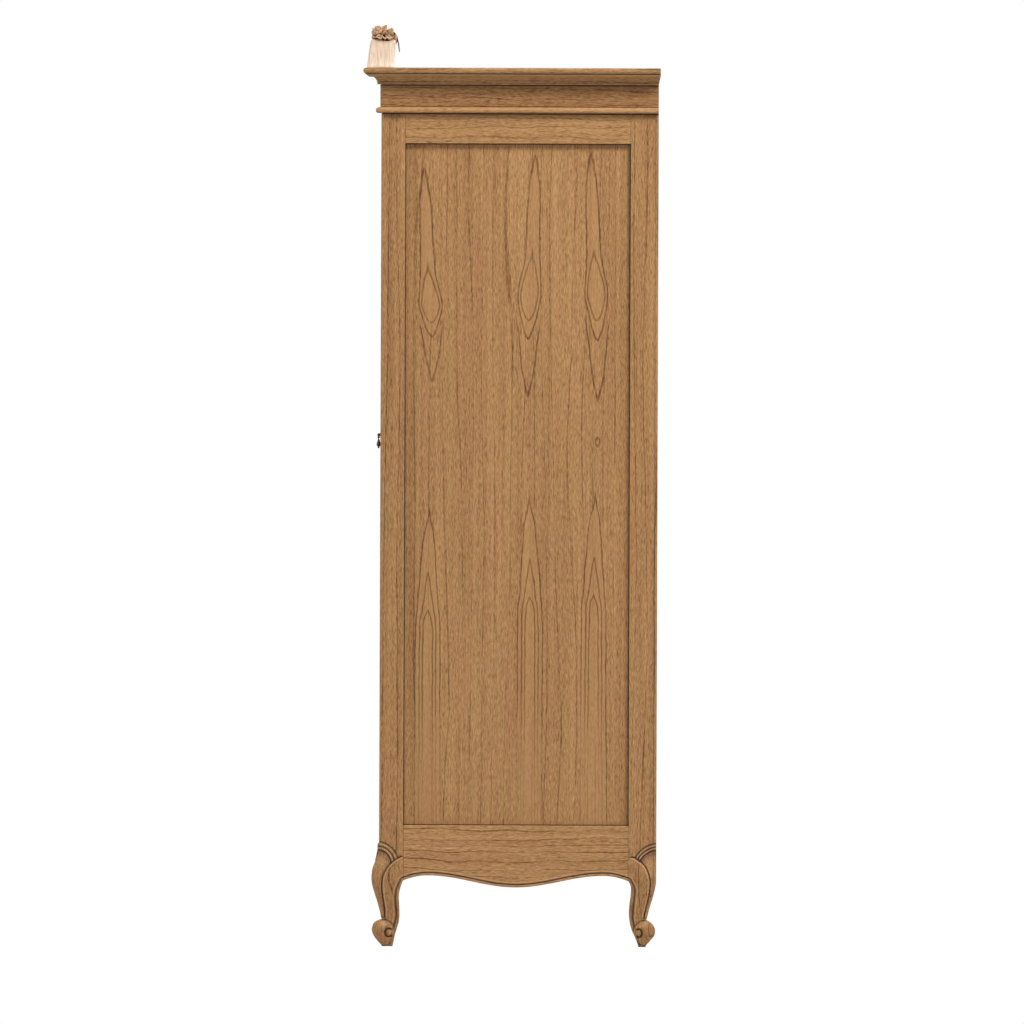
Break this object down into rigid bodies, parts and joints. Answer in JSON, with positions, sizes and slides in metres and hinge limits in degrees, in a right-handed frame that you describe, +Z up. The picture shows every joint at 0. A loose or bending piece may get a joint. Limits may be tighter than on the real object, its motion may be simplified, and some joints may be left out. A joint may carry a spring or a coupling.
{
  "type": "wardrobe",
  "caption": "Free-standing wooden wardrobe with two framed doors, moulded cornice, carved crest, hat shelf, hanging rail and scroll feet.",
  "frame": {"origin": "on the floor, under the middle of the roof board's box", "axes": "+Z up, front towards -Y, +X to the right as seen from the front"},
  "size_m": [1.205, 0.6234, 1.9336],
  "materials": {
    "wood": "weathered brown, waxed, open pores",
    "pale_wood": "rubbed pale, waxed",
    "bronze": "dark antique bronze",
    "steel": "satin"
  },
  "bodies": {
    "carcass": {"left_front_post": "wood", "right_front_post": "wood", "left_back_post": "wood", "right_back_post": "wood", "left_side_rail": "wood", "right_side_rail": "wood", "left_side_apron": "wood", "right_side_apron": "wood", "left_side_panel": "wood", "right_side_panel": "wood", "front_top_rail": "wood", "front_apron": "wood", "back_top_rail": "wood", "back_bottom_rail": "wood", "back_panel": "wood", "floor_board": "wood", "hat_shelf": "wood", "left_shelf_cleat": "wood", "right_shelf_cleat": "wood", "hanging_rail": "wood", "top_board": "wood", "left_frieze": "wood", "front_frieze": "wood", "right_frieze": "wood", "left_cove": "wood", "front_cove": "wood", "right_cove": "wood", "cornice_back_rail": "wood", "roof_board": "wood", "crest_moulding": "pale_wood", "crest_board": "pale_wood", "crest_carving": "pale_wood", "left_lower_hinge_post_leaf": "steel", "left_upper_hinge_post_leaf": "steel", "right_lower_hinge_post_leaf": "steel", "right_upper_hinge_post_leaf": "steel", "door_catch": "steel"},
    "left_door": {"left_door_hinge_stile": "wood", "left_door_meeting_stile": "wood", "left_door_top_rail": "wood", "left_door_bottom_rail": "wood", "left_door_panel": "wood", "left_lower_hinge_door_leaf": "steel", "left_upper_hinge_door_leaf": "steel", "left_pull_plate": "bronze", "top_bolt_case": "steel", "bottom_bolt_case": "steel"},
    "right_door": {"right_door_hinge_stile": "wood", "right_door_meeting_stile": "wood", "right_door_top_rail": "wood", "right_door_bottom_rail": "wood", "right_door_panel": "wood", "right_lower_hinge_door_leaf": "steel", "right_upper_hinge_door_leaf": "steel", "right_pull_plate": "bronze"},
    "left_pull": {"left_pull_drop": "bronze"},
    "right_pull": {"right_pull_drop": "bronze"},
    "top_bolt": {"top_bolt": "steel"},
    "bottom_bolt": {"bottom_bolt": "steel"}
  },
  "joints": [
    {"name": "left_door_hinge", "type": "hinge", "parent": "carcass", "child": "left_door", "pos_m": [-0.5119, -0.27085, 0.97], "axis": [0, 0, -1], "range_deg": [0, 110]},
    {"name": "right_door_hinge", "type": "hinge", "parent": "carcass", "child": "right_door", "pos_m": [0.5119, -0.27085, 0.97], "axis": [0, 0, 1], "range_deg": [0, 110]},
    {"name": "left_pull_swing", "type": "hinge", "parent": "left_door", "child": "left_pull", "pos_m": [-0.0275, -0.27785, 1.073], "axis": [-1, 0, 0], "range_deg": [0, 95]},
    {"name": "right_pull_swing", "type": "hinge", "parent": "right_door", "child": "right_pull", "pos_m": [0.0275, -0.27785, 1.073], "axis": [-1, 0, 0], "range_deg": [0, 95]},
    {"name": "top_bolt_slide", "type": "slide", "parent": "left_door", "child": "top_bolt", "axis": [0, 0, 1], "range_m": [0, 0.018]},
    {"name": "bottom_bolt_slide", "type": "slide", "parent": "left_door", "child": "bottom_bolt", "axis": [0, 0, -1], "range_m": [0, 0.018]}
  ]
}
